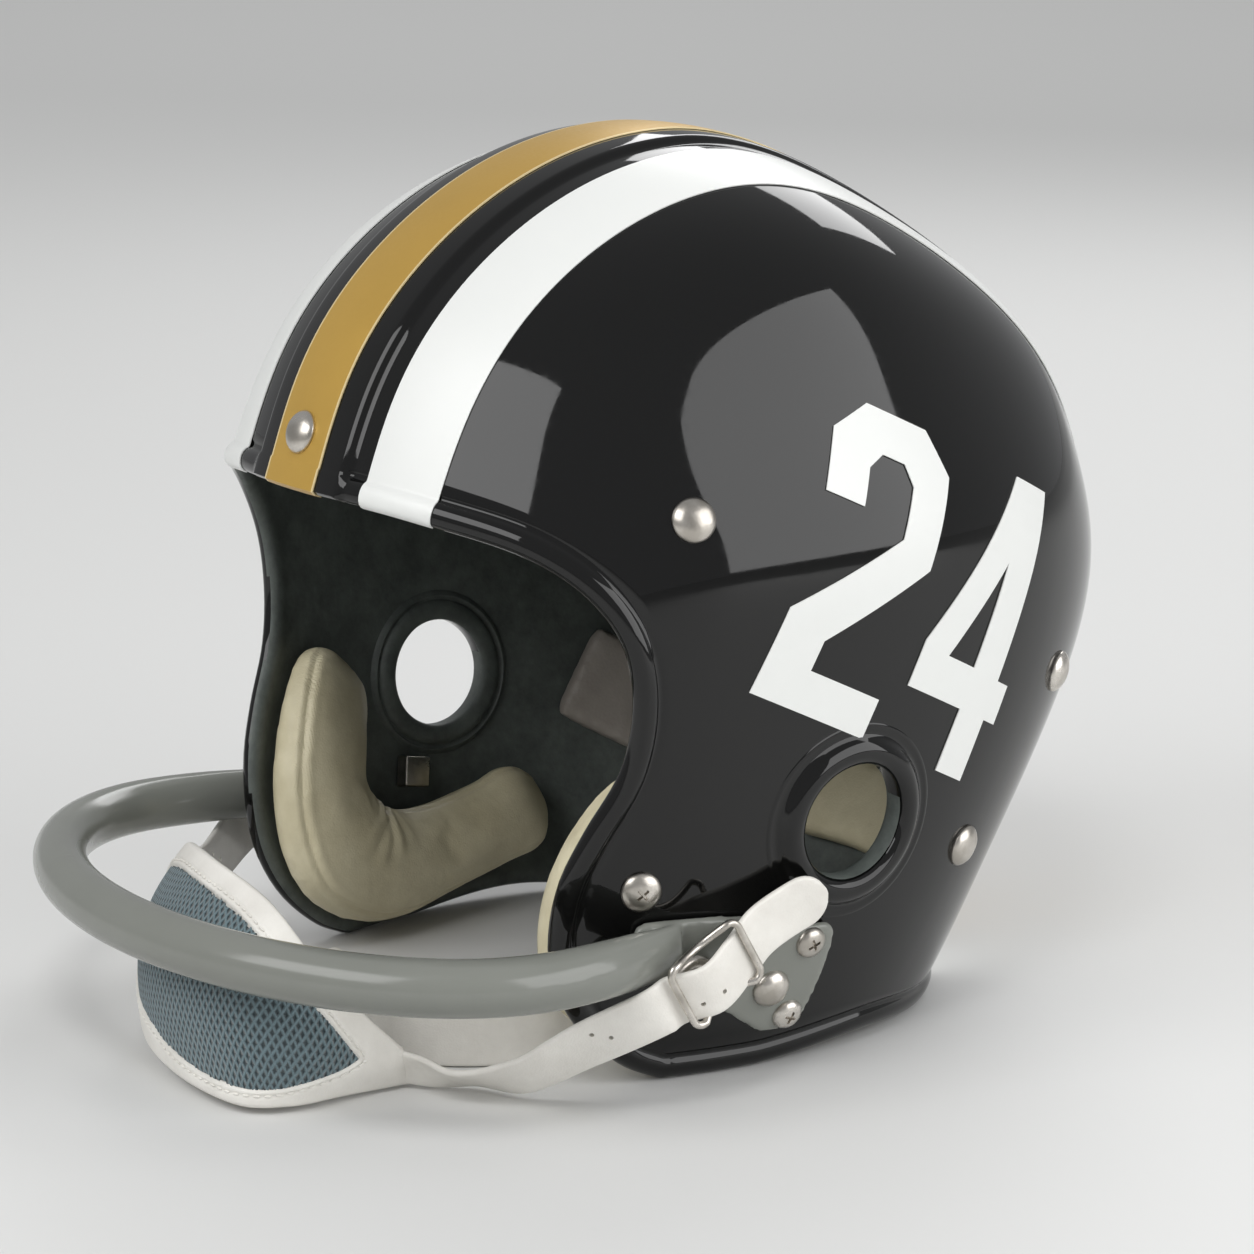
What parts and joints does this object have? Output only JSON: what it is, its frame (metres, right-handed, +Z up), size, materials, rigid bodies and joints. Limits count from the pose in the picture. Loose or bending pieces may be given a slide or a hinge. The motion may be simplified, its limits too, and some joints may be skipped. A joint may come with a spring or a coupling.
{
  "type": "football helmet",
  "caption": "Vintage football helmet with a glossy ridged shell, tape stripes, block numbers, a single face bar, leather jaw pads and a leather chin strap.",
  "frame": {"origin": "on the floor under the middle of the whole box", "axes": "+Z up, the helmet faces -Y, +X is the wearer's left"},
  "size_m": [0.2368, 0.3364, 0.2624],
  "materials": {
    "gloss_black": "moulded, polished",
    "gold_tape": "satin metallic tape",
    "white_tape": "smooth satin tape",
    "grey_plastic": "moulded, glossy",
    "nickel": "plated, worn satin",
    "khaki_leather": "soft, creased",
    "white_leather": "painted, worn",
    "blue_mesh": "coarse diamond weave",
    "taupe_leather": "matte"
  },
  "bodies": {
    "root": {"shell": "gloss_black", "center_stripe": "gold_tape", "brow_rivet": "nickel", "face_bar": "grey_plastic", "chin_cup": "white_leather", "cup_fabric": "blue_mesh", "inner_band": "white_leather", "nape_pad": "khaki_leather", "side_stripe_left": "white_tape", "digit_two_left": "white_tape", "digit_four_left": "white_tape", "side_rivet_left": "nickel", "rear_rivet_left": "nickel", "nape_rivet_left": "nickel", "jaw_screw_left": "nickel", "bar_screw_upper_left": "nickel", "bar_screw_lower_left": "nickel", "bar_dome_left": "nickel", "jaw_pad_left": "khaki_leather", "rear_pad_left": "taupe_leather", "square_nut_left": "nickel", "strap_left": "white_leather", "buckle_left": "nickel", "snap_left": "nickel", "side_stripe_right": "white_tape", "digit_two_right": "white_tape", "digit_four_right": "white_tape", "side_rivet_right": "nickel", "rear_rivet_right": "nickel", "nape_rivet_right": "nickel", "jaw_screw_right": "nickel", "bar_screw_upper_right": "nickel", "bar_screw_lower_right": "nickel", "bar_dome_right": "nickel", "jaw_pad_right": "khaki_leather", "rear_pad_right": "taupe_leather", "square_nut_right": "nickel", "strap_right": "white_leather", "buckle_right": "nickel", "snap_right": "nickel"}
  },
  "joints": []
}
